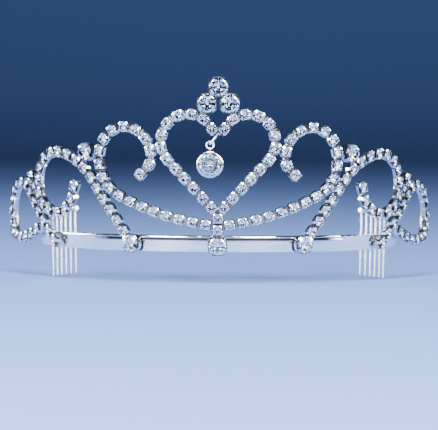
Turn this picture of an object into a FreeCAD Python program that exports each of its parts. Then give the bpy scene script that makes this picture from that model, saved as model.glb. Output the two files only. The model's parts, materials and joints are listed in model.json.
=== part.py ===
import FreeCAD, Part

import math
import os
from FreeCAD import Placement, Rotation, Vector

os.makedirs("parts", exist_ok=True)

# A bridal tiara: a springy polished headband carries a heart between three pairs of scrolls.
# Each strand is a soldered frame wire with a chain of four-prong cups and round stones on it.
# A drop stone hangs in the heart, and a wire comb under each end of the band grips the hair.
#
# Millimetres and degrees. X is to the right, Y to the back of the head, Z up.
# All is built about the axis of the headband's arc, level with the band's lower edge, and
# each sub-part is then moved so that the origin lies midway between the two combs.
# The strands are laid out on the unrolled front: u runs along the band from its middle
# to the right, and z is the height. The left half mirrors the right one.

# Headband
BAND_RADIUS = 68.5  # outer face
BAND_HEIGHT = 5.3
BAND_THICKNESS = 1.0
BAND_EDGE_ROUNDING = 0.3
BAND_PAST_COMB = 8.5  # from the middle of the comb to the start of the rounded end
BAND_TAPER_RISE = 0.9  # how far the lower edge has risen at the end
BAND_TAPER_START = 34.0  # sideways distance at which the lower edge starts to rise
GROOVE_RADIUS = 0.3
GROOVE_DEPTH = 0.25
GROOVE_BELOW_TOP = 1.15
GROOVE_HALF_ANGLE = 35.0

# Frame wire, cup chain and stones
WIRE_DIAMETER = 1.0
WIRE_SPAN = 3.0  # between the points that a bent wire's curve runs through
CHAIN_STONE = 3.2
CHAIN_WALL = 0.15
LINK_GAP = 0.55  # between the cups of one strand
SIDE_GAP = 0.2  # between the settings of neighbouring strands
CREST_STONE = 5.8
CREST_WALL = 0.15
CREST_GAP = 0.1
CREST_SPREAD = 6.9  # between the middles of the two lower crest stones
JUNCTION_STONE = 5.2
TIP_STONE = 4.2
FOOT_STONE = 5.6
LEG_STONE = 5.2
SINGLE_WALL = 0.3
SEAT_BASE = 0.2  # metal left under a stone's point
PAVILION_SHARE = 0.42  # of a stone's diameter, as are the next four
CROWN_SHARE = 0.16
GIRDLE_SHARE = 0.03
TABLE_SHARE = 0.58
PRONG_SHARE = 0.19
PRONG_REACH = 0.75  # how far inside the cup's wall a prong stands, in prong radii
WALL_SHARE = 0.7  # of the pavilion's depth, up to which the cup's wall stands

# Heart
LOBE_U = 9.4
LOBE_Z = 34.6
LOBE_RADIUS = 8.5
CLEFT_SLOPE = 20.0
HEART_TIP_Z = 14.0
FOOT_STONE_Z = 2.2

# Scrolls: each strand's start (u, z, heading), then its arcs (radius, turn) and its straight run
INNER_START = (24.6, 24.4, 150)
INNER_ARCS = [(6.5, -60), (9, -175), (13.5, -68), (90, -19)]
INNER_STRAIGHT = 8
MIDDLE_START = (49.5, 20.1, -87)
MIDDLE_ARCS = [(8.8, 91), (9.6, 180), (21, 50)]
OUTER_FOOT_U = 59.7
OUTER_HEADING = 46
OUTER_STRAIGHT = 21.9
OUTER_ARCS = [(7, -40), (13.5, -68), (7, -107), (28, -38)]
JUNCTION_NEAR = (44.5, 33.0)  # in the notch over the inner and the middle scroll
TIP_NEAR = (72.5, 24.0)  # in the notch over the middle and the outer scroll

# Combs
COMB_TEETH = 6
COMB_PITCH = 2.4
COMB_SLOPE = 7.0  # the outer end is the lower one
TOOTH_DIAMETER = 0.9
TOOTH_TIP_DIAMETER = 0.56
TOOTH_LENGTH = 20.5
TOOTH_LEAN = 2.0
TOOTH_POINT_LENGTH = 8.0  # the tapered lower end
SPINE_Z = 12.2
SPINE_DIAMETER = 1.5
SPINE_OVERHANG = 0.9

# Drop
LINK_WIRE = 0.8
LINK_HALF_WIDTH = 0.9
LINK_TOP = (-0.5, 36.4)
LINK_BOTTOM = (-2.5, 33.9)
RING_WIRE = 0.6
RING_RADIUS = 1.15  # to the middle of its wire
HANG_PLAY = 0.05
LUG_PLAY = 0.12
LUG_WALL = 0.35
LUG_THICKNESS = 0.6
LUG_NECK = 0.6  # from the ring's wire to the bezel's rim
BEZEL_RADIUS = 4.25
BEZEL_WALL = 0.3
BEZEL_BACK = 0.4  # metal left under the stone's point
BEZEL_BACK_RADIUS = 2.0
BEZEL_LIP = 0.2  # how far the rim stands over the stone's edge

WIRE_RADIUS = BAND_RADIUS + WIRE_DIAMETER / 2
SETTING_RADIUS = BAND_RADIUS + WIRE_DIAMETER
LAYOUT_RADIUS = SETTING_RADIUS + SEAT_BASE
CHAIN_CUP = CHAIN_STONE + 2 * CHAIN_WALL
CHAIN_PITCH = CHAIN_CUP + LINK_GAP
STRAND_GAP = CHAIN_CUP + SIDE_GAP
BAND_MIDDLE = BAND_HEIGHT / 2
COMB_RADIUS = BAND_RADIUS - BAND_THICKNESS - TOOTH_DIAMETER / 2
PLACE_SPACING = 0.5  # between the points at which a line's distance to its neighbour is taken
HALVINGS = 40
NESTING_ROUNDS = 60
DROP_Y = -WIRE_RADIUS
ORIGIN = Vector(0, 0, 0)
UP = Vector(0, 0, 1)


# ---- The unrolled front ----


def straight(length):
    return length, 0.0


def bend(radius, turn):
    """An arc that turns left by a positive angle, right by a negative one."""
    return radius * math.radians(abs(turn)), math.copysign(1 / radius, turn)


class Path:
    """A line of straights and arcs on the unrolled front, each tangent to the last."""

    def __init__(self, u, z, heading, moves):
        self.start = (u, z, heading)
        self.moves = moves
        self.length = sum(length for length, curvature in moves)

    def at(self, distance):
        """The place and the heading at a distance along the line."""
        u, z, heading = self.start
        for length, curvature in self.moves:
            step = min(length, distance)
            angle = math.radians(heading)
            turn = step * curvature
            if curvature:
                u += (math.sin(angle + turn) - math.sin(angle)) / curvature
                z -= (math.cos(angle + turn) - math.cos(angle)) / curvature
            else:
                u += step * math.cos(angle)
                z += step * math.sin(angle)
            heading += math.degrees(turn)
            distance -= step
            if distance <= 0:
                break
        return u, z, heading

    def moved(self, sideways):
        u, z, heading = self.start
        return Path(u + sideways, z, heading, self.moves)

    def places(self):
        count = math.ceil(self.length / PLACE_SPACING)
        return [self.at(self.length * i / count)[:2] for i in range(count + 1)]

    def nearest(self, place):
        return min(self.places(), key=lambda other: math.dist(place, other))


def bisect(low, high, is_far_enough):
    """The least value between low and high that is far enough."""
    for _ in range(HALVINGS):
        middle = (low + high) / 2
        if is_far_enough(middle):
            high = middle
        else:
            low = middle
    return high


def closest_places(path, neighbour):
    pairs = [(a, b) for a in path.places() for b in neighbour.places()]
    return min(pairs, key=lambda pair: math.dist(*pair))


def slid_against(path, neighbour, gap):
    """The path, slid along the band until it lies a gap away from its neighbour."""
    reach = 3 * gap

    def is_clear(sideways):
        return math.dist(*closest_places(path.moved(sideways), neighbour)) >= gap

    return path.moved(bisect(-reach, reach, is_clear))


def distance_to_axis(path, u):
    """How far along the path its last stretch, which runs to the middle, comes down to u."""
    return bisect(path.length / 2, path.length, lambda distance: path.at(distance)[0] <= u)


def nested(first, second, gap, place):
    """The place near the given one that lies a gap away from both paths."""
    for _ in range(NESTING_ROUNDS):
        for path in (first, second):
            near = path.nearest(place)
            away = math.dist(place, near)
            place = tuple(n + (p - n) * gap / away for p, n in zip(place, near))
    return place


# ---- From the unrolled front to the tiara ----


def angle_of(u):
    return math.degrees(u / LAYOUT_RADIUS)


def wrapped(u, z, radius):
    angle = math.radians(angle_of(u))
    return Vector(radius * math.sin(angle), -radius * math.cos(angle), z)


def outward(shape, u, z, radius, turn=0.0):
    """A copy of a shape that stands on its XY plane, set on the front and facing outward."""
    facing = Rotation(UP, angle_of(u)) * Rotation(Vector(1, 0, 0), 90) * Rotation(UP, turn)
    copy = shape.copy()
    copy.Placement = Placement(wrapped(u, z, radius), facing)
    return copy


def mirrored(shape):
    return shape.mirror(ORIGIN, Vector(1, 0, 0))


def mirrored_strand(places):
    return [(-u, z, 180 - heading) for u, z, heading in places]


def bar(start, end, radius):
    along = end - start
    return Part.makeCylinder(radius, along.Length, start, along)


def rod_through(points, radius):
    """A round wire through the points, with a ball at each bend."""
    rod = bar(points[0], points[1], radius)
    for start, end in zip(points[1:], points[2:]):
        rod = rod.fuse([Part.makeSphere(radius, start), bar(start, end, radius)])
    return rod.removeSplitter()


def bent_wire(path, start, end, radius, diameter):
    """A round wire along the path, wrapped round the head at this radius."""
    count = math.ceil((end - start) / WIRE_SPAN)
    places = [path.at(start + (end - start) * i / count) for i in range(count + 1)]
    curve = Part.BSplineCurve()
    curve.interpolate([wrapped(u, z, radius) for u, z, heading in places])
    tangent = curve.tangent(curve.FirstParameter)[0]
    section = Part.makeCircle(diameter / 2, curve.StartPoint, tangent)
    spine = Part.Wire(curve.toShape())
    return spine.makePipeShell([Part.Wire(section)], True, False)


def frame_wire(path, start, end):
    """A round wire along the path, lying against the headband's outer face."""
    return bent_wire(path, start, end, WIRE_RADIUS, WIRE_DIAMETER)


def tie(places, wires):
    """A short wire through these places, its ends coped round the wires that it joins."""
    rod = rod_through([wrapped(*place, WIRE_RADIUS) for place in places], WIRE_DIAMETER / 2)
    return rod.cut(wires)


# ---- Settings and stones ----


def revolved(outline):
    face = Part.Face(Part.makePolygon([Vector(r, 0, z) for r, z in outline + outline[:1]]))
    return face.revolve(ORIGIN, UP, 360)


def round_stone(diameter, base):
    """A round brilliant with its point at the height of the base and its table up."""
    radius = diameter / 2
    girdle = base + PAVILION_SHARE * diameter
    shoulder = girdle + GIRDLE_SHARE * diameter
    table = shoulder + CROWN_SHARE * diameter
    table_radius = TABLE_SHARE * radius
    return revolved([(0, base), (radius, girdle), (radius, shoulder), (table_radius, table), (0, table)])


def prong_cup(diameter, wall, base):
    """A round cup whose four prongs reach over the stone's edge."""
    stone = round_stone(diameter, base)
    cup_radius = diameter / 2 + wall
    prong_radius = PRONG_SHARE * diameter / 2
    prong_centre = cup_radius - PRONG_REACH * prong_radius
    prong_height = base + (PAVILION_SHARE + GIRDLE_SHARE + CROWN_SHARE / 2) * diameter + prong_radius / 2
    cup = Part.makeCylinder(cup_radius, base + WALL_SHARE * PAVILION_SHARE * diameter)
    for corner in range(45, 360, 90):
        angle = math.radians(corner)
        foot = Vector(prong_centre * math.cos(angle), prong_centre * math.sin(angle), 0)
        cup = cup.fuse(Part.makeCylinder(prong_radius, prong_height, foot))
    return cup.removeSplitter().cut(stone)


def set_stones(places, diameter, wall):
    """The cups and the stones at these places on the front."""
    cup = prong_cup(diameter, wall, SEAT_BASE)
    stone = round_stone(diameter, SEAT_BASE)
    cups = [outward(cup, u, z, SETTING_RADIUS, turn) for u, z, turn in places]
    stones = [outward(stone, u, z, SETTING_RADIUS, turn) for u, z, turn in places]
    return cups, stones


def chain_places(path, start, end):
    """Evenly spaced cups from one distance along the path to the other."""
    count = math.floor((end - start) / CHAIN_PITCH)
    return [path.at(start + (end - start) * i / count) for i in range(count + 1)]


def single_radius(stone):
    return stone / 2 + SINGLE_WALL


# ---- Layout of the right half ----


def heart_path():
    """From the cleft over the lobe, then straight to the tip at the middle."""
    first_u = STRAND_GAP / 2
    start_angle = math.degrees(math.acos((first_u - LOBE_U) / LOBE_RADIUS))
    first_z = LOBE_Z + LOBE_RADIUS * math.sin(math.radians(start_angle))
    first_heading = start_angle - 90
    rise = math.radians(first_heading)
    slope = math.radians(CLEFT_SLOPE)
    cleft_radius = first_u / (math.sin(rise) - math.sin(slope))
    cleft_z = first_z - cleft_radius * (math.cos(slope) - math.cos(rise))
    centre_to_tip = math.dist((LOBE_U, LOBE_Z), (first_u, HEART_TIP_Z))
    towards_tip = math.degrees(math.atan2(LOBE_Z - HEART_TIP_Z, LOBE_U - first_u))
    side_slope = towards_tip - math.degrees(math.asin(LOBE_RADIUS / centre_to_tip))
    side_length = math.sqrt(centre_to_tip**2 - LOBE_RADIUS**2)
    past_tip = first_u / math.cos(math.radians(side_slope))
    moves = [
        bend(cleft_radius, first_heading - CLEFT_SLOPE),
        bend(LOBE_RADIUS, side_slope - 180 - first_heading),
        straight(side_length + past_tip),
    ]
    return Path(0, cleft_z, CLEFT_SLOPE, moves)


def inner_scroll_path():
    """From the curl beside the heart over the top, then in a swag to the centre post."""
    return Path(*INNER_START, [bend(*arc) for arc in INNER_ARCS] + [straight(INNER_STRAIGHT)])


def middle_scroll_path():
    """From the curl under the loop and over the top, then down a straight leg to the band."""
    curl = Path(*MIDDLE_START, [bend(*arc) for arc in MIDDLE_ARCS])
    leg_top_z, heading = curl.at(curl.length)[1:]
    leg = (leg_top_z - BAND_MIDDLE) / abs(math.sin(math.radians(heading)))
    return Path(*curl.start, curl.moves + [straight(leg)])


def outer_scroll_path():
    """From its foot on the band up and over the top, then back under past the band's end."""
    moves = [straight(OUTER_STRAIGHT)] + [bend(*arc) for arc in OUTER_ARCS]
    return Path(OUTER_FOOT_U, BAND_MIDDLE, OUTER_HEADING, moves)


HEART = heart_path()
INNER = slid_against(inner_scroll_path(), HEART, STRAND_GAP)
MIDDLE = slid_against(middle_scroll_path(), INNER, STRAND_GAP)
OUTER = slid_against(outer_scroll_path(), MIDDLE, STRAND_GAP)
INNER_END = distance_to_axis(INNER, 0)
LEG_U = MIDDLE.at(MIDDLE.length)[0]
COMB_U = OUTER.start[0]


def heart_places():
    first = HEART.moves[0][0]
    last = distance_to_axis(HEART, STRAND_GAP / 2)
    return chain_places(HEART, first, last)


def inner_places():
    return chain_places(INNER, 0, distance_to_axis(INNER, STRAND_GAP))


def middle_places():
    clear_of_foot = single_radius(LEG_STONE) + SIDE_GAP / 2 + CHAIN_CUP / 2
    return chain_places(MIDDLE, 0, MIDDLE.length - clear_of_foot)


def outer_places():
    return chain_places(OUTER, 0, OUTER.length)


def post_places():
    """Cups from the foot stone up to the notch between the heart's lowest cups."""
    lowest = FOOT_STONE_Z + single_radius(FOOT_STONE) + SIDE_GAP / 2 + CHAIN_CUP / 2
    rise = HEART_TIP_Z - STRAND_GAP * math.cos(math.radians(30)) - lowest
    count = math.floor(rise / (CHAIN_CUP + SIDE_GAP / 2))
    return [(0, lowest + rise * i / max(count, 1), 90) for i in range(count + 1)]


def crest_places():
    """A stone over each lobe of the heart, and one on top of the two."""
    radius = CREST_STONE / 2 + CREST_WALL
    side_u = CREST_SPREAD / 2
    over_lobe = LOBE_RADIUS + CHAIN_CUP / 2 + radius
    side_z = LOBE_Z + math.sqrt(over_lobe**2 - (LOBE_U - side_u) ** 2)
    top_z = side_z + math.sqrt((2 * radius + CREST_GAP) ** 2 - side_u**2)
    return [(-side_u, side_z, 0), (0, top_z, 0), (side_u, side_z, 0)]


def junction_place():
    gap = single_radius(JUNCTION_STONE) + SIDE_GAP / 2 + CHAIN_CUP / 2
    return nested(INNER, MIDDLE, gap, JUNCTION_NEAR)


def tip_place():
    gap = single_radius(TIP_STONE) + SIDE_GAP / 2 + CHAIN_CUP / 2
    return nested(MIDDLE, OUTER, gap, TIP_NEAR)


# ---- Sub-parts ----


def swept_round(profile, half_angle):
    """A profile drawn in the XZ plane, swept about Z over the same angle to both sides of the front."""
    solid = profile.revolve(ORIGIN, UP, 2 * half_angle)
    solid.rotate(ORIGIN, UP, -90 - half_angle)
    return solid


def band_profile():
    """The strip's section: rounded lower corners and a fully round top."""
    outer = BAND_RADIUS
    inner = BAND_RADIUS - BAND_THICKNESS
    middle = (outer + inner) / 2
    corner = BAND_EDGE_ROUNDING
    sag = corner * (1 - math.sqrt(0.5))
    shoulder = BAND_HEIGHT - BAND_THICKNESS / 2
    points = [
        (inner + corner, 0),
        (outer - corner, 0),
        (outer - sag, sag),
        (outer, corner),
        (outer, shoulder),
        (middle, BAND_HEIGHT),
        (inner, shoulder),
        (inner, corner),
        (inner + sag, sag),
    ]
    v = [Vector(x, 0, z) for x, z in points]
    edges = [
        Part.makeLine(v[0], v[1]),
        Part.Arc(v[1], v[2], v[3]).toShape(),
        Part.makeLine(v[3], v[4]),
        Part.Arc(v[4], v[5], v[6]).toShape(),
        Part.makeLine(v[6], v[7]),
        Part.Arc(v[7], v[8], v[0]).toShape(),
    ]
    return Part.Face(Part.Wire(edges))


def groove():
    """The crease under the bead, with round ends."""
    radius = BAND_RADIUS + GROOVE_RADIUS - GROOVE_DEPTH
    height = BAND_HEIGHT - GROOVE_BELOW_TOP
    circle = Part.makeCircle(GROOVE_RADIUS, Vector(radius, 0, height), Vector(0, 1, 0))
    crease = swept_round(Part.Face(Part.Wire(circle)), GROOVE_HALF_ANGLE)
    for side in (-1, 1):
        angle = math.radians(side * GROOVE_HALF_ANGLE)
        end = Vector(radius * math.sin(angle), -radius * math.cos(angle), height)
        crease = crease.fuse(Part.makeSphere(GROOVE_RADIUS, end))
    return crease


def headband():
    """A polished strip with a round bead along its top, narrower towards its rounded ends."""
    half_angle = angle_of(COMB_U + BAND_PAST_COMB)
    end_radius = (BAND_HEIGHT - BAND_TAPER_RISE) / 2
    end_x = BAND_RADIUS * math.sin(math.radians(half_angle))
    band = swept_round(band_profile(), half_angle)
    ring = swept_round(band_profile(), 180)
    for side in (-1, 1):
        angle = math.radians(side * half_angle)
        radial = Vector(math.sin(angle), -math.cos(angle), 0)
        centre = radial * (BAND_RADIUS / 2) + UP * (BAND_TAPER_RISE + end_radius)
        band = band.fuse(ring.common(Part.makeCylinder(end_radius, BAND_RADIUS, centre, radial)))
        outline = [
            (BAND_TAPER_START, 0),
            (end_x, BAND_TAPER_RISE),
            (BAND_RADIUS, BAND_TAPER_RISE),
            (BAND_RADIUS, -1),
            (BAND_TAPER_START, -1),
        ]
        corners = [Vector(side * x, -BAND_RADIUS - 1, z) for x, z in outline + outline[:1]]
        wedge = Part.Face(Part.makePolygon(corners)).extrude(Vector(0, BAND_RADIUS + 1, 0))
        band = band.cut(wedge)
    return band.removeSplitter().cut(groove())


def comb():
    """The right comb's curved top bar and its teeth, which are soldered inside the band's end."""
    slope = math.tan(math.radians(COMB_SLOPE))
    lean = math.tan(math.radians(TOOTH_LEAN))
    half_span = COMB_PITCH * (COMB_TEETH - 1) / 2
    half_bar = half_span + SPINE_OVERHANG
    top_line = Path(COMB_U - half_bar, SPINE_Z + half_bar * slope, -COMB_SLOPE, [straight(2 * half_bar)])
    spine = bent_wire(top_line, 0, top_line.length, COMB_RADIUS, SPINE_DIAMETER)
    teeth = []
    for i in range(COMB_TEETH):
        aside = i * COMB_PITCH - half_span
        top_z = SPINE_Z - aside * slope
        top = wrapped(COMB_U + aside, top_z, COMB_RADIUS)
        tip = wrapped(COMB_U + aside - lean * TOOTH_LENGTH, top_z - TOOTH_LENGTH, COMB_RADIUS)
        along = (tip - top).normalize()
        shoulder = tip - along * TOOTH_POINT_LENGTH
        thick = TOOTH_DIAMETER / 2
        thin = TOOTH_TIP_DIAMETER / 2
        point = Part.makeCone(thick, thin, TOOTH_POINT_LENGTH, shoulder, along)
        tooth = bar(top, shoulder, thick).fuse([point, Part.makeSphere(thin, tip)])
        teeth.append(tooth.removeSplitter().cut(spine))
    return spine, teeth


def drop_link(wires):
    """A slanting oval link that stands edge-on, soldered under the heart's cleft."""
    top = Vector(LINK_TOP[0], DROP_Y, LINK_TOP[1])
    bottom = Vector(LINK_BOTTOM[0], DROP_Y, LINK_BOTTOM[1])
    along = (top - bottom).normalize()
    aside = Vector(0, LINK_HALF_WIDTH, 0)
    low = bottom + along * LINK_HALF_WIDTH
    high = top - along * LINK_HALF_WIDTH
    edges = [
        Part.makeLine(low + aside, high + aside),
        Part.Arc(high + aside, top, high - aside).toShape(),
        Part.makeLine(high - aside, low - aside),
        Part.Arc(low - aside, bottom, low + aside).toShape(),
    ]
    section = Part.makeCircle(LINK_WIRE / 2, low + aside, along)
    return Part.Wire(edges).makePipeShell([Part.Wire(section)], True, False).cut(wires)


def ring_centre():
    """The ring hangs round the link's lower end with a little play."""
    below = RING_RADIUS - LINK_WIRE / 2 - RING_WIRE / 2 - HANG_PLAY
    return Vector(LINK_BOTTOM[0], DROP_Y, LINK_BOTTOM[1] - below)


def drop_ring():
    return Part.makeTorus(RING_RADIUS, RING_WIRE / 2, ring_centre(), Vector(0, 1, 0))


def drop_stone_and_bezel():
    """A round stone in a smooth cup, with a lug over it that the ring passes through."""
    diameter = 2 * (BEZEL_RADIUS - BEZEL_WALL)
    stone = round_stone(diameter, BEZEL_BACK)
    girdle = BEZEL_BACK + PAVILION_SHARE * diameter
    lip = girdle + GIRDLE_SHARE * diameter + BEZEL_LIP
    outline = [(0, 0), (BEZEL_BACK_RADIUS, 0), (BEZEL_RADIUS, girdle / 2), (BEZEL_RADIUS, lip), (0, lip)]
    cup = revolved(outline).cut(stone)
    pin = ring_centre() - UP * RING_RADIUS
    centre = pin - UP * (LUG_NECK + BEZEL_RADIUS)
    seat = Placement(centre + Vector(0, lip / 2, 0), Rotation(Vector(1, 0, 0), 90))
    cup.Placement = seat
    stone.Placement = seat
    hole_radius = RING_WIRE / 2 + LUG_PLAY
    lug_radius = hole_radius + LUG_WALL
    start = pin - Vector(LUG_THICKNESS / 2, 0, 0)
    lug = Part.makeCylinder(lug_radius, LUG_THICKNESS, start, Vector(1, 0, 0))
    neck = Part.makeBox(LUG_THICKNESS, 2 * lug_radius, LUG_NECK + BEZEL_WALL)
    neck.translate(start - Vector(0, lug_radius, LUG_NECK + BEZEL_WALL))
    hole = Part.makeCylinder(hole_radius, LUG_THICKNESS, start, Vector(1, 0, 0))
    bezel = cup.fuse([lug, neck]).removeSplitter().cut([hole, stone])
    return bezel, stone


def export(node, solids):
    """Writes a sub-part, moved so that the origin lies midway between the two combs."""
    forward = Vector(0, -wrapped(COMB_U, 0, COMB_RADIUS).y, 0)
    Part.makeCompound([solid.translated(forward) for solid in solids]).exportStep(f"parts/{node}.step")


# ---- The whole tiara ----

export("headband", [headband()])

post_top = HEART.at(HEART.length)[1] + WIRE_DIAMETER / 2
post_wire = bar(wrapped(0, 0, WIRE_RADIUS), wrapped(0, post_top, WIRE_RADIUS), WIRE_DIAMETER / 2)
left_half = Part.makeBox(BAND_RADIUS, 2 * BAND_RADIUS, 2 * BAND_RADIUS)
left_half.translate(Vector(-BAND_RADIUS, -1.5 * BAND_RADIUS, -BAND_RADIUS))
strands = {
    "heart": (frame_wire(HEART, 0, HEART.length).cut([left_half, post_wire]), heart_places()),
    "inner_scroll": (frame_wire(INNER, 0, INNER_END).cut(post_wire), inner_places()),
    "middle_scroll": (frame_wire(MIDDLE, 0, MIDDLE.length), middle_places()),
    "outer_scroll": (frame_wire(OUTER, 0, OUTER.length), outer_places()),
}
export("centre_post_wire", [post_wire])
post_cups, post_stones = set_stones(post_places(), CHAIN_STONE, CHAIN_WALL)
export("centre_post_cups", post_cups)
export("centre_post_stones", post_stones)
for name, (wire, places) in strands.items():
    for side, side_wire, side_places in (
        ("right", wire, places),
        ("left", mirrored(wire), mirrored_strand(places)),
    ):
        cups, stones = set_stones(side_places, CHAIN_STONE, CHAIN_WALL)
        export(f"{name}_{side}_wire", [side_wire])
        export(f"{name}_{side}_cups", cups)
        export(f"{name}_{side}_stones", stones)

heart, inner, middle, outer = [wire for wire, places in strands.values()]
in_notch = junction_place()
at_tip = tip_place()
right_ties = [
    tie(closest_places(HEART, INNER), [heart, inner]),
    tie(closest_places(INNER, MIDDLE), [inner, middle]),
    tie(closest_places(MIDDLE, OUTER), [middle, outer]),
    tie([INNER.nearest(in_notch), in_notch, MIDDLE.nearest(in_notch)], [inner, middle]),
    tie([MIDDLE.nearest(at_tip), at_tip, OUTER.nearest(at_tip)], [middle, outer]),
]
export("joining_wires", right_ties + [mirrored(wire) for wire in right_ties])

crest = crest_places()
crest_foot = HEART.nearest(crest[2][:2])
crest_line = [(-crest_foot[0], crest_foot[1])] + [place[:2] for place in crest] + [crest_foot]
export("crest_wire", [tie(crest_line, [heart, mirrored(heart)])])

singles = {
    "crest": (CREST_STONE, CREST_WALL, crest),
    "junction": (JUNCTION_STONE, SINGLE_WALL, [(*in_notch, 0)]),
    "tip": (TIP_STONE, SINGLE_WALL, [(*at_tip, 0)]),
    "leg_foot": (LEG_STONE, SINGLE_WALL, [(LEG_U, BAND_MIDDLE, 0)]),
    "centre_foot": (FOOT_STONE, SINGLE_WALL, [(0, FOOT_STONE_Z, 0)]),
}
for name, (diameter, wall, places) in singles.items():
    both_sides = places if len(places) > 1 or places[0][0] == 0 else places + mirrored_strand(places)
    settings, stones = set_stones(both_sides, diameter, wall)
    export(f"{name}_settings", settings)
    export(f"{name}_stones", stones)

spine, teeth = comb()
export("comb_right_spine", [spine])
export("comb_right_teeth", teeth)
export("comb_left_spine", [mirrored(spine)])
export("comb_left_teeth", [mirrored(tooth) for tooth in teeth])

drop_bezel, drop_stone = drop_stone_and_bezel()
export("drop_link", [drop_link(mirrored(heart))])
export("drop_ring", [drop_ring()])
export("drop_bezel", [drop_bezel])
export("drop_stone", [drop_stone])
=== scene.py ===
import json
import math

import bmesh
import bpy
from mathutils import Matrix, Vector


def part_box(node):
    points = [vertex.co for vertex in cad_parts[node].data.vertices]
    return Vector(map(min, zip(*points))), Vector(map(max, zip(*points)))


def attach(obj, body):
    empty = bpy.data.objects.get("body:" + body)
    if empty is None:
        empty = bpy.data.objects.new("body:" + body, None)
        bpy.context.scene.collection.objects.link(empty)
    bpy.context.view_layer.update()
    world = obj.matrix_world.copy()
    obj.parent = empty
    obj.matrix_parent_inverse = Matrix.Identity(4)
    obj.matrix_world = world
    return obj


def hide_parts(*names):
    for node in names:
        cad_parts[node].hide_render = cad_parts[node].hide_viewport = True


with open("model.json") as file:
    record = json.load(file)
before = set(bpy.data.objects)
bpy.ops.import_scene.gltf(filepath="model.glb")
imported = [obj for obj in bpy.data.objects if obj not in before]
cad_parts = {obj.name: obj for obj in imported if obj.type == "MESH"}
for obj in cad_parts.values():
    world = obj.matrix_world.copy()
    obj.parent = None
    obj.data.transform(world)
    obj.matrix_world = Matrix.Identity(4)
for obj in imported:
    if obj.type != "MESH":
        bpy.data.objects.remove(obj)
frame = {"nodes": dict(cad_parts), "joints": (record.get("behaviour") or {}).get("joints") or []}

bpy.context.view_layer.update()


# ---- Headband ----
# A springy strip of brass with a bead rolled along its upper edge and a crease under the bead.
# It is silver plated and polished to a mirror; the polish leaves hairlines along the strip and
# a little dark tarnish down in the crease.

BAND_RADIUS = 0.0685
CREASE_HEIGHT = 0.00415
CREASE_WIDTH = 0.00068
CREASE_END = 0.0385
CREASE_FADE = 0.004

arc_axis = Vector((0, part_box("headband")[0].y + BAND_RADIUS, 0))


class Shade:
    """One output of a material's nodes; an expression on it adds the Math nodes."""

    def __init__(self, tree, socket=None):
        self.tree = tree
        self.socket = socket

    def node(self, kind, settings, inputs, output=0):
        made = self.tree.nodes.new("ShaderNode" + kind)
        for name, value in settings.items():
            setattr(made, name, value)
        for name, value in inputs.items():
            if isinstance(value, Shade):
                self.tree.links.new(value.socket, made.inputs[name])
            else:
                made.inputs[name].default_value = value
        return None if output is None else Shade(self.tree, made.outputs[output])

    def maths(self, operation, *values):
        return self.node("Math", {"operation": operation}, dict(enumerate(values)))

    def __add__(self, other):
        return self.maths("ADD", self, other)

    def __radd__(self, other):
        return self.maths("ADD", other, self)

    def __sub__(self, other):
        return self.maths("SUBTRACT", self, other)

    def __rsub__(self, other):
        return self.maths("SUBTRACT", other, self)

    def __mul__(self, other):
        return self.maths("MULTIPLY", self, other)

    def __rmul__(self, other):
        return self.maths("MULTIPLY", other, self)


def new_material(name):
    material = bpy.data.materials.new(name)
    material.use_nodes = True
    material.node_tree.nodes.clear()
    return material, Shade(material.node_tree)


def surfaced(shade, **sockets):
    """Gives the material one surface shader, with these values and links."""
    inputs = {name.replace("_", " "): value for name, value in sockets.items()}
    surface = shade.node("BsdfPrincipled", {}, inputs)
    shade.node("OutputMaterial", {}, {"Surface": surface}, None)


def place_on_object(shade, scale):
    """Object coordinates, scaled, so that a pattern keeps its real size on every piece."""
    place = shade.node("TexCoord", {}, {}, "Object")
    return shade.node("Mapping", {}, {"Vector": place, "Scale": scale})


def noise(shade, scale, detail=3.0):
    """Mottling with a grain of about 1 / scale metres along each axis, from 0 to 1."""
    place = place_on_object(shade, scale)
    return shade.node("TexNoise", {}, {"Vector": place, "Scale": 1.0, "Detail": detail})


def blend(shade, amount, first, second):
    """A colour between two others."""
    inputs = {"Factor": amount, 6: first, 7: second}
    return shade.node("Mix", {"data_type": "RGBA"}, inputs, 2)


def falling(shade, value, start, end):
    """1 up to the start, and down to 0 at the end."""
    return shade.node("MapRange", {}, {"Value": value, 1: start, 2: end, 3: 1.0, 4: 0.0})


def silver_plate(name, bright, worn, roughness, hairlines, relief, crease=False):
    """Plated metal: mottled between two tones, with polishing hairlines in its gloss and relief."""
    material, shade = new_material(name)
    mottle = noise(shade, (260, 260, 260))
    lines = noise(shade, hairlines, 2.0)
    amount = mottle * 0.75 + lines * 0.25
    colour = blend(shade, amount, bright, worn)
    gloss = roughness + amount * roughness
    # Painted shade: the crease under the bead is darkened to near black and made a little rougher,
    # fading out towards the band's ends.
    if crease:
        place = shade.node("TexCoord", {}, {}, "Object")
        aside = shade.maths("ABSOLUTE", shade.node("SeparateXYZ", {}, {"Vector": place}, 0))
        height = shade.node("SeparateXYZ", {}, {"Vector": place}, 2)
        off_middle = shade.maths("ABSOLUTE", height - CREASE_HEIGHT)
        in_crease = falling(shade, off_middle, CREASE_WIDTH / 2, CREASE_WIDTH)
        before_end = falling(shade, aside, CREASE_END - CREASE_FADE, CREASE_END)
        painted_crease_shade = in_crease * before_end
        colour = blend(shade, painted_crease_shade, colour, (0.02, 0.02, 0.03, 1))
        gloss = gloss + painted_crease_shade * 0.3
    bump = shade.node("Bump", {}, {"Strength": relief, "Distance": 0.00002, "Height": lines})
    surfaced(shade, Base_Color=colour, Metallic=1.0, Roughness=gloss, Normal=bump)
    return material


def plated(material, *nodes):
    """Gives CAD nodes their finish."""
    for node in nodes:
        slots = frame["nodes"][node].data.materials
        slots.clear()
        slots.append(material)


band_plate = silver_plate(
    "mirror_plate",
    bright=(0.90, 0.91, 0.94, 1),
    worn=(0.80, 0.83, 0.88, 1),
    roughness=0.05,
    hairlines=(160, 160, 9000),
    relief=0.25,
    crease=True,
)
plated(band_plate, "headband")


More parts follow.
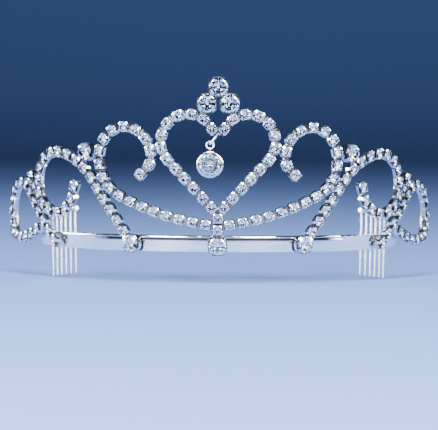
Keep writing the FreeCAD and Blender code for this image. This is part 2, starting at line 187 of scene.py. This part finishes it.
# ---- Side combs ----
# Six round wire teeth with tapered points hang from a thicker curved top wire, soldered inside
# each end of the band. Drawn brass wire, silver plated, and duller than the band from tumbling.

comb_plate = silver_plate(
    "tumbled_plate", (0.93, 0.94, 0.96, 1), (0.78, 0.80, 0.84, 1), 0.18, (5000, 5000, 220), 0.4
)
plated(comb_plate, "comb_left_spine", "comb_left_teeth", "comb_right_spine", "comb_right_teeth")


# ---- Wire frame ----
# Round brass wire bent to the heart and the scrolls, with short cross wires and the crest's rods,
# all soldered together before plating, which leaves the joints a little rougher than the runs;
# the plate here is the same at the joints as along the runs.

wire_plate = silver_plate(
    "plated_wire", (0.92, 0.93, 0.95, 1), (0.75, 0.77, 0.81, 1), 0.15, (2600, 2600, 2600), 0.5
)
strands = [
    strand + side
    for strand in ("heart", "inner_scroll", "middle_scroll", "outer_scroll")
    for side in ("_left", "_right")
] + ["centre_post"]
plated(wire_plate, "joining_wires", "crest_wire", *[strand + "_wire" for strand in strands])


# ---- Cup chain ----
# Stamped brass cups, silver plated, one under each 3.2 mm stone. Each has a round wall and four
# prongs, which a setter presses over the stone's edge, and is soldered along the frame wire.

CHAIN_STONE = 0.0032
PAVILION = 0.42  # heights and widths here are shares of the stone's diameter
GIRDLE = 0.03
CROWN = 0.16
TABLE = 0.58
CUP_WALL = 0.047
CUP_FLOOR = 0.0625
RIM = 0.10
WALL_TOP = 0.29
SEAT_WIDTH = 0.36  # of the slope under the stone
PRONG_RISE = 0.17
PRONG_TIP = 0.08


def only(piece, kind, is_wanted):
    """Selects, in edit mode, only those faces or edges that are wanted."""
    bpy.ops.mesh.select_mode(type="FACE" if kind == "faces" else "EDGE")
    bpy.ops.mesh.select_all(action="DESELECT")
    shape = bmesh.from_edit_mesh(piece.data)
    for part in getattr(shape, kind):
        part.select_set(is_wanted(part))
    bmesh.update_edit_mesh(piece.data)


def under_a_prong(face):
    middle = face.calc_center_median()
    turn = math.degrees(math.atan2(middle.y, middle.x)) % 90
    return face.normal.z > 0.9 and middle.xy.length > 0.4 and abs(turn - 45) < 2


def at_a_corner(face):
    middle = face.calc_center_median()
    turn = math.degrees(math.atan2(middle.y, middle.x)) % 90
    return abs(face.normal.z) < 0.1 and abs(turn - 45) < 2


def along_the_strand(face):
    return abs(face.normal.x) > 0.99


def under_the_stone(face):
    return face.normal.z > 0.1 and face.calc_center_median().z < WALL_TOP + 0.01


def prong_cup(name, sides, wall, floor, squareness, length, link, plate, recess):
    """A four-prong cup for a stone of diameter 1, whose point is at the origin."""
    bpy.ops.object.select_all(action="DESELECT")
    bpy.ops.mesh.primitive_cylinder_add(
        vertices=sides,
        radius=0.5 + wall,
        depth=floor + WALL_TOP,
        location=(0, 0, (WALL_TOP - floor) / 2),
        rotation=(0, 0, math.pi / sides),
    )
    cup = bpy.context.object
    cup.name = name
    bpy.ops.object.transform_apply(location=True, rotation=True, scale=True)
    bpy.ops.object.mode_set(mode="EDIT")
    only(cup, "faces", at_a_corner)
    bpy.ops.transform.resize(value=(squareness, squareness, 1), center_override=(0, 0, 0))
    bpy.ops.mesh.select_all(action="SELECT")
    bpy.ops.transform.resize(value=(length, 1, 1), center_override=(0, 0, 0))
    only(cup, "faces", lambda face: face.normal.z > 0.9)
    bpy.ops.mesh.inset(thickness=RIM, depth=0)
    bpy.ops.mesh.inset(thickness=SEAT_WIDTH, depth=0)
    bpy.ops.transform.translate(value=(0, 0, -WALL_TOP - floor / 3))
    only(cup, "faces", under_a_prong)
    bpy.ops.mesh.extrude_region_move(TRANSFORM_OT_translate={"value": (0, 0, PRONG_RISE)})
    bpy.ops.transform.resize(value=(0.95, 0.95, 1), center_override=(0, 0, 0))
    bpy.ops.mesh.extrude_region_move(TRANSFORM_OT_translate={"value": (0, 0, PRONG_TIP)})
    bpy.ops.transform.resize(value=(0.80, 0.80, 1), center_override=(0, 0, 0))
    # Painted shade: the rim and seat faces under the stone take the second, near-black material.
    only(cup, "faces", under_the_stone)
    for face in bmesh.from_edit_mesh(cup.data).faces:
        face.material_index = int(face.select)
    if link:
        only(cup, "faces", along_the_strand)
        bpy.ops.mesh.extrude_region_move()
        bpy.ops.transform.resize(value=(1 + link, 1, 1), center_override=(0, 0, 0))
    bpy.ops.object.mode_set(mode="OBJECT")
    bpy.ops.object.shade_smooth_by_angle(angle=math.radians(40))
    cup.data.materials.append(plate)
    cup.data.materials.append(recess)
    return cup


def seats(node):
    """The points of a CAD node's stones, as seen from the arc's axis."""
    shape = bmesh.new()
    shape.from_mesh(frame["nodes"][node].data)
    bmesh.ops.remove_doubles(shape, verts=shape.verts, dist=1e-6)
    waiting = set(shape.verts)
    points = []
    for first in shape.verts:
        if first not in waiting:
            continue
        waiting.remove(first)
        reached = [first]
        for corner in reached:
            for edge in corner.link_edges:
                other = edge.other_vert(corner)
                if other in waiting:
                    waiting.remove(other)
                    reached.append(other)
        point = min((corner.co - arc_axis for corner in reached), key=lambda co: co.xy.length)
        points.append(point.copy())
    shape.free()
    return points


def standing(point, heading, size):
    """The place of a model that stands on the front at this point, seen from the arc's axis."""
    out = Vector((point.x, point.y, 0)).normalized()
    right = Vector((-out.y, out.x, 0))
    up = Vector((0, 0, 1))
    along = right * math.cos(heading) + up * math.sin(heading)
    across = up * math.cos(heading) - right * math.sin(heading)
    turned = Matrix((along, across, out)).transposed().to_4x4()
    return Matrix.Translation(point + arc_axis) @ turned @ Matrix.Diagonal((size, size, size, 1))


def strand_places(node, size):
    """One place for each stone of a strand, turned along the line to its neighbours."""
    points = seats(node)
    places = []
    for i, point in enumerate(points):
        before = points[max(i - 1, 0)]
        after = points[min(i + 1, len(points) - 1)]
        out = Vector((point.x, point.y, 0)).normalized()
        run = (after - before).dot(Vector((-out.y, out.x, 0)))
        places.append(standing(point, math.atan2(after.z - before.z, run), size))
    return places


def copies(model, places, name):
    """One piece of a copy of the model at each place, each copy with its own mesh."""
    bpy.ops.object.select_all(action="DESELECT")
    for place in places:
        copy = model.copy()
        copy.data = model.data.copy()
        copy.data.transform(place)
        bpy.context.scene.collection.objects.link(copy)
        copy.select_set(True)
        bpy.context.view_layer.objects.active = copy
    if len(places) > 1:
        bpy.ops.object.join()
    piece = bpy.context.object
    piece.name = name
    return piece


cup_plate = silver_plate(
    "cup_plate", (0.93, 0.94, 0.96, 1), (0.76, 0.78, 0.82, 1), 0.09, (1500, 1500, 1500), 0.35
)
# Painted shade: a near-black plate for the rims and seats under the stones, so that the gaps between
# stone and prongs look dark.
cup_recess = silver_plate(
    "cup_recess", (0.10, 0.10, 0.11, 1), (0.04, 0.04, 0.045, 1), 0.2, (1500, 1500, 1500), 0.35
)
chain_cup = prong_cup("chain_cup", 16, CUP_WALL, CUP_FLOOR, 1.17, 1.05, 0.12, cup_plate, cup_recess)
for strand in strands:
    chain = copies(chain_cup, strand_places(strand + "_stones", CHAIN_STONE), strand + "_cup_chain")
    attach(chain, "tiara")
    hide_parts(strand + "_cups")
bpy.data.objects.remove(chain_cup)


# ---- Chain stones ----
# Round clear crystals of 3.2 mm, cut as brilliants: a flat table, a crown of stars, kites and
# halves, a thin girdle, and a pointed back, which is foiled with silver so that it throws light.


LOWER_RADIUS = 0.14  # how near the point the lower halves reach


def crystal(name):
    """Clear lead glass, with the faint bloom that handling leaves on its facets."""
    material, shade = new_material(name)
    bloom = noise(shade, (900, 900, 900), 2.0)
    tint = blend(shade, bloom, (1.0, 1.0, 1.0, 1), (0.93, 0.96, 1.0, 1))
    surfaced(shade, Base_Color=tint, Roughness=bloom * 0.01, IOR=1.57, Transmission_Weight=1.0)
    return material


def foil(name):
    """Silver foil behind the glass, slightly cloudy."""
    material, shade = new_material(name)
    cloud = noise(shade, (1300, 1300, 1300), 2.0)
    tint = blend(shade, cloud, (0.98, 0.98, 0.98, 1), (0.87, 0.89, 0.93, 1))
    surfaced(shade, Base_Color=tint, Metallic=1.0, Roughness=0.01 + cloud * 0.02)
    return material


def around(radius, turn, height):
    angle = math.radians(turn)
    return Vector((radius * math.cos(angle), radius * math.sin(angle), height))


def cut_facet(middle, first, second, third):
    """Grinds away what lies outside the plane through three points."""
    facing = (second - first).cross(third - first).normalized()
    if facing.dot(first - middle) < 0:
        facing.negate()
    bpy.ops.mesh.select_all(action="SELECT")
    bpy.ops.mesh.bisect(plane_co=first, plane_no=facing, use_fill=True, clear_outer=True, threshold=1e-5)


def brilliant(name, glass, back):
    """A brilliant of diameter 1, its point at the origin and its table up, cut from a blank."""
    girdle_low = PAVILION
    girdle_high = PAVILION + GIRDLE
    top = girdle_high + CROWN
    table = TABLE / 2
    bpy.ops.object.select_all(action="DESELECT")
    bpy.ops.mesh.primitive_cylinder_add(vertices=16, radius=0.5, depth=top, location=(0, 0, top / 2))
    stone = bpy.context.object
    stone.name = name
    bpy.ops.object.transform_apply(location=True, rotation=True, scale=True)
    bpy.ops.object.mode_set(mode="EDIT")
    middle = Vector((0, 0, girdle_low))
    half = math.cos(math.radians(22.5))
    star_radius = (table * half + 0.5) / 2
    star_height = girdle_high + (0.5 - star_radius * half) * CROWN / (0.5 - table)
    lower_height = LOWER_RADIUS * half * PAVILION / 0.5
    for turn in range(0, 360, 45):
        table_corner = around(table, turn, top)
        next_corner = around(table, turn + 45, top)
        girdle_corner = around(0.5, turn, girdle_high)
        low_corner = around(0.5, turn, girdle_low)
        aside = around(1, turn + 90, 0)
        star_tip = around(star_radius, turn + 22.5, star_height)
        cut_facet(middle, girdle_corner, table_corner, girdle_corner + aside)
        cut_facet(middle, Vector(), low_corner, aside)
        cut_facet(middle, table_corner, next_corner, star_tip)
    for turn in range(0, 360, 45):
        for side in (-22.5, 22.5):
            for radius, height, girdle in (
                (star_radius, star_height, girdle_high),
                (LOWER_RADIUS, lower_height, girdle_low),
            ):
                tip = around(radius, turn + side, height)
                cut_facet(middle, around(0.5, turn, girdle), around(0.5, turn + side, girdle), tip)
    bpy.ops.mesh.select_all(action="SELECT")
    bpy.ops.mesh.remove_doubles(threshold=1e-4)
    bpy.ops.object.mode_set(mode="OBJECT")
    bpy.ops.object.shade_flat()
    stone.data.materials.append(glass)
    stone.data.materials.append(back)
    for face in stone.data.polygons:
        face.material_index = 1 if face.normal.z < -0.2 else 0
    return stone


clear_crystal = crystal("clear_crystal")
silver_foil = foil("silver_foil")
stone_cut = brilliant("stone_cut", clear_crystal, silver_foil)
for strand in strands:
    stones = copies(stone_cut, strand_places(strand + "_stones", CHAIN_STONE), strand + "_crystals")
    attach(stones, "tiara")
    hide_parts(strand + "_stones")


# ---- Crest, junction, tip and foot stones ----
# The larger stones stand in single four-prong settings, cast and plated like the cups, soldered
# over the heart, in the notches between the scrolls and on the band at the feet of the legs.

SINGLE_WALL = 0.057
SINGLE_FLOOR = 0.04
single_cup = prong_cup("single_cup", 16, SINGLE_WALL, SINGLE_FLOOR, 1.08, 1, 0, cup_plate, cup_recess)
for group, size in (
    ("crest", 0.0058),
    ("junction", 0.0052),
    ("tip", 0.0042),
    ("leg_foot", 0.0052),
    ("centre_foot", 0.0056),
):
    places = [standing(point, 0, size) for point in seats(group + "_stones")]
    settings = copies(single_cup, places, group + "_prong_settings")
    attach(settings, "tiara")
    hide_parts(group + "_settings")
    stones = copies(stone_cut, places, group + "_crystals")
    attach(stones, "tiara")
    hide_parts(group + "_stones")
bpy.data.objects.remove(single_cup)


# ---- Drop ----
# A slanting oval link under the heart's cleft carries a small ring, and the ring a turned cup
# with an 8 mm crystal. The cup's rim is burnished over the stone's edge, and an eye is brazed to
# its top for the ring. All are silver-plated brass, closed without solder.

BEZEL_RADIUS = 0.00425
BEZEL_LIP = 0.00065  # how far the burnished rim reaches over the stone
RIM_STEPS = ((0.3, 0.00028), (0.4, 0.00010), (0.5, -0.00002))  # share of the lip, rise
RIM_EDGE = 0.0001
RIM_INSIDE = 0.0006
SEAT = 0.0031
BACK = 0.0004
BACK_SHARE = 0.47
EYE_RADIUS = 0.0006
EYE_WIRE = 0.00019
NECK_RADIUS = 0.0003
NECK_FLARE = 2.2

plated(wire_plate, "drop_link", "drop_ring")
low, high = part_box("drop_stone")
drop_size = high.x - low.x
facing_front = Matrix(((1, 0, 0, 0), (0, 0, -1, 0), (0, 1, 0, 0), (0, 0, 0, 1)))
drop_point = Matrix.Translation(((low.x + high.x) / 2, high.y, (low.z + high.z) / 2)) @ facing_front
drop_place = drop_point @ Matrix.Diagonal((drop_size, drop_size, drop_size, 1))

girdle = PAVILION * drop_size
rim_height = (PAVILION + GIRDLE) * drop_size
bpy.ops.object.select_all(action="DESELECT")
bpy.ops.mesh.primitive_cylinder_add(
    vertices=64,
    radius=BEZEL_RADIUS,
    depth=rim_height - girdle / 2,
    location=(0, 0, (rim_height + girdle / 2) / 2),
)
bezel = bpy.context.object
bpy.ops.object.transform_apply(location=True, rotation=True, scale=True)
bpy.ops.object.mode_set(mode="EDIT")
only(bezel, "faces", lambda face: face.normal.z > 0.9)
for share, rise in RIM_STEPS:
    bpy.ops.mesh.inset(thickness=share * BEZEL_LIP, depth=0)
    bpy.ops.transform.translate(value=(0, 0, rise))
bpy.ops.mesh.inset(thickness=RIM_EDGE, depth=0)
bpy.ops.transform.translate(value=(0, 0, -RIM_INSIDE))
bpy.ops.mesh.inset(thickness=SEAT, depth=0)
bpy.ops.transform.translate(value=(0, 0, -girdle))
only(bezel, "faces", lambda face: face.normal.z < -0.9)
bpy.ops.mesh.extrude_region_move(TRANSFORM_OT_translate={"value": (0, 0, -girdle / 2 - BACK)})
bpy.ops.transform.resize(value=(BACK_SHARE, BACK_SHARE, 1), center_override=(0, 0, 0))
bpy.ops.object.mode_set(mode="OBJECT")
bezel.data.transform(drop_point)

pin = Vector(next(joint["pos_m"] for joint in frame["joints"] if joint["name"] == "drop_swing"))
bpy.ops.mesh.primitive_torus_add(
    major_segments=24,
    minor_segments=10,
    major_radius=EYE_RADIUS,
    minor_radius=EYE_WIRE,
    location=pin,
    rotation=(0, math.pi / 2, 0),
)
eye = bpy.context.object
bpy.ops.object.transform_apply(location=True, rotation=True, scale=True)
neck_top = pin.z - EYE_RADIUS
neck_foot = (low.z + high.z) / 2 + BEZEL_RADIUS * 0.97
bpy.ops.mesh.primitive_cylinder_add(
    vertices=16,
    radius=NECK_RADIUS,
    depth=neck_top - neck_foot,
    location=(pin.x, pin.y, (neck_top + neck_foot) / 2),
)
neck = bpy.context.object
bpy.ops.object.transform_apply(location=True, rotation=True, scale=True)
bpy.ops.object.mode_set(mode="EDIT")
only(neck, "faces", lambda face: face.normal.z < -0.9)
bpy.ops.transform.resize(value=(NECK_FLARE, NECK_FLARE, 1), center_override=(pin.x, pin.y, neck_foot))
bpy.ops.object.mode_set(mode="OBJECT")
for part in (bezel, eye, neck):
    part.select_set(True)
bpy.context.view_layer.objects.active = bezel
bpy.ops.object.join()
bezel.name = "drop_burnished_cup"
bpy.ops.object.shade_smooth_by_angle(angle=math.radians(50))
bezel.data.materials.append(cup_plate)
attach(bezel, "drop")
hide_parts("drop_bezel")

drop = copies(stone_cut, [drop_place], "drop_crystal")
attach(drop, "drop")
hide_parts("drop_stone")
bpy.data.objects.remove(stone_cut)


# ---- Table, lights and camera ----
# A plain pale blue paper sheet lies under the combs and curves up far behind the tiara. Soft boxes
# light it from the front, from above and from both sides.

FLOOR_DROP = 0.0002
FLOOR_SIZE = 3
FLOOR_MIDDLE = 0.96  # the sheet ends half a metre in front
SHEET_CURVE = ((0.4, 0.1), (0.3, 0.4), (0, 3))  # steps back and up
floor_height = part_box("comb_right_teeth")[0].z - FLOOR_DROP
bpy.ops.object.select_all(action="DESELECT")
bpy.ops.mesh.primitive_plane_add(size=FLOOR_SIZE, location=(0, FLOOR_MIDDLE, floor_height))
sheet = bpy.context.object
sheet.name = "pale_sheet"
bpy.ops.object.transform_apply(location=True, rotation=True, scale=True)
bpy.ops.object.mode_set(mode="EDIT")
only(sheet, "edges", lambda edge: all(corner.co.y > 1 for corner in edge.verts))
for step_back, step_up in SHEET_CURVE:
    bpy.ops.mesh.extrude_region_move(TRANSFORM_OT_translate={"value": (0, step_back, step_up)})
bpy.ops.object.mode_set(mode="OBJECT")
bpy.ops.object.shade_smooth()
paper, shade = new_material("pale_paper")
grain = noise(shade, (700, 700, 700))
tint = blend(shade, grain, (0.085, 0.165, 0.44, 1), (0.075, 0.155, 0.42, 1))
surfaced(shade, Base_Color=tint, Roughness=0.9)
sheet.data.materials.append(paper)

world = bpy.data.worlds.new("studio")
bpy.context.scene.world = world
world.use_nodes = True
world.node_tree.nodes["Background"].inputs["Color"].default_value = (0.5, 0.62, 0.9, 1)
world.node_tree.nodes["Background"].inputs["Strength"].default_value = 0.04


def soft_box(name, place, size, power):
    """A square area light that faces the tiara."""
    light = bpy.data.lights.new(name, "AREA")
    light.size = size
    light.energy = power
    lamp = bpy.data.objects.new(name, light)
    lamp.location = place
    lamp.rotation_euler = (arc_axis - Vector(place)).to_track_quat("-Z", "Y").to_euler()
    bpy.context.scene.collection.objects.link(lamp)


soft_box("left_front_box", (-0.42, -0.75, 0.25), 0.3, 23)
soft_box("right_front_box", (0.35, -0.85, 0.30), 0.3, 22)
soft_box("overhead_box", (0.0, -0.45, 0.6), 0.3, 11)
soft_box("right_box", (0.8, -0.1, 0.3), 0.4, 14)
soft_box("left_box", (-0.8, 0.05, 0.25), 0.4, 14)

VIEW_DISTANCE = 0.9
VIEW_HEIGHT = math.radians(2.08)
VIEW_ASIDE = math.radians(0.57)
VIEW_TILT = math.radians(0.38)
LENS = 219.6
aim = arc_axis + Vector((-0.00027, 0, 0.0093))
back = Vector(
    (
        math.sin(VIEW_ASIDE) * math.cos(VIEW_HEIGHT),
        -math.cos(VIEW_ASIDE) * math.cos(VIEW_HEIGHT),
        math.sin(VIEW_HEIGHT),
    )
)
lens = bpy.data.cameras.new("camera")
lens.lens = LENS
camera = bpy.data.objects.new("camera", lens)
camera.matrix_world = (
    Matrix.Translation(aim + back * VIEW_DISTANCE)
    @ (-back).to_track_quat("-Z", "Y").to_matrix().to_4x4()
    @ Matrix.Rotation(VIEW_TILT, 4, "Z")
)
bpy.context.scene.collection.objects.link(camera)
bpy.context.scene.camera = camera

bpy.context.view_layer.update()
